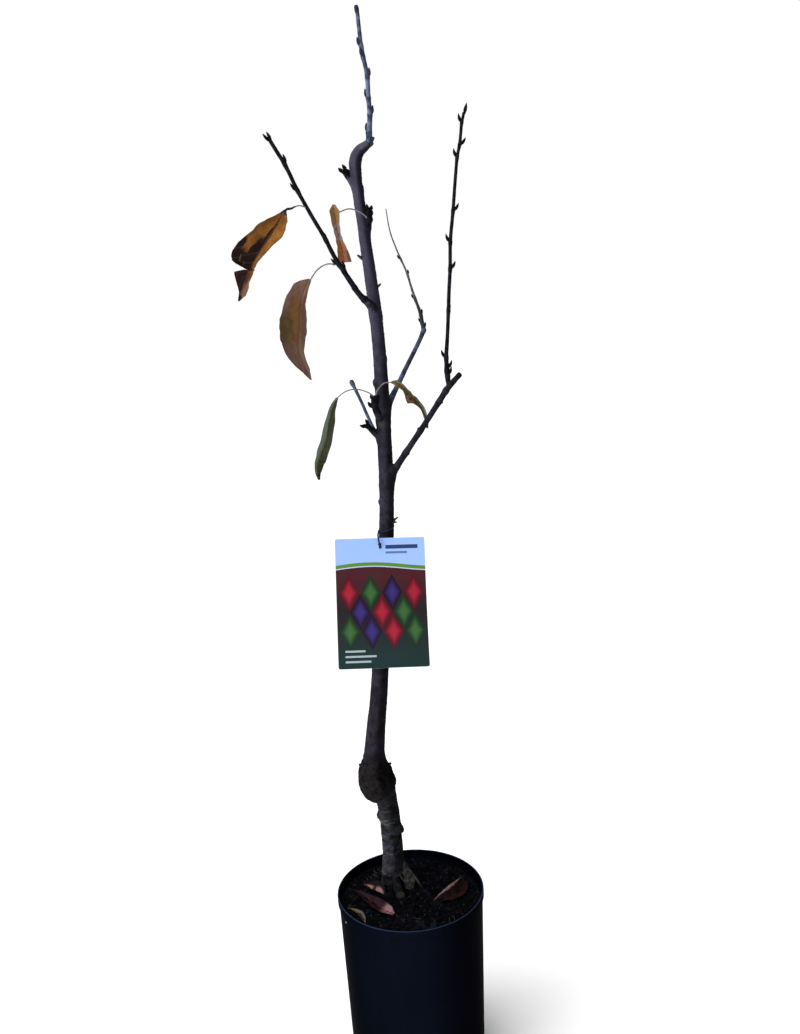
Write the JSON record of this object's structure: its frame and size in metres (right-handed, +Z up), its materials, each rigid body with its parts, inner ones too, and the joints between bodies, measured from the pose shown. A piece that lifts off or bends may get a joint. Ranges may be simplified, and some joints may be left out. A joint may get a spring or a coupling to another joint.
{
  "type": "potted cherry tree",
  "caption": "Young grafted cherry tree in late autumn, nearly bare, pruned boughs with thin budded shoots and a few dead leaves, in a round filled nursery pot with a hanging plant label.",
  "frame": {"origin": "centre of the pot's flat underside", "axes": "+Z up along the tree, +X to the right and -Y towards the viewer of the picture"},
  "size_m": [0.275, 0.216, 1.38],
  "materials": {
    "pot": "dark navy moulded plastic, faint gloss",
    "potting_mix": "near-black bark chips and fibre, matt",
    "bark": "grey-brown bark with pale pores, flaking low on the stem",
    "bough_bark": "smooth blue-grey young bark",
    "shoots": "thin silver-grey to blackish shoots with buds and dead leaves",
    "dead_leaves": "dry curled leaves, maroon to salmon",
    "label_card": "printed plastic card, satin",
    "tie_wire": "dark green coated wire"
  },
  "bodies": {
    "root": {"pot": "pot", "soil": "potting_mix", "trunk": "bark", "bough_left_upper": "bough_bark", "bough_right_lower": "bough_bark", "bough_right_upper": "bough_bark", "bough_left_lower": "bough_bark", "leader_shoot": "shoots", "shoot_left_upper": "shoots", "shoot_right_lower": "shoots", "shoot_right_upper": "shoots", "spur_front": "shoots", "spur_right": "shoots", "spur_top_left": "shoots", "spur_left_lower": "shoots", "label": "label_card", "label_tie": "tie_wire", "fallen_leaf_1": "dead_leaves", "fallen_leaf_2": "dead_leaves", "fallen_leaf_3": "dead_leaves", "fallen_leaf_4": "dead_leaves"}
  },
  "joints": []
}
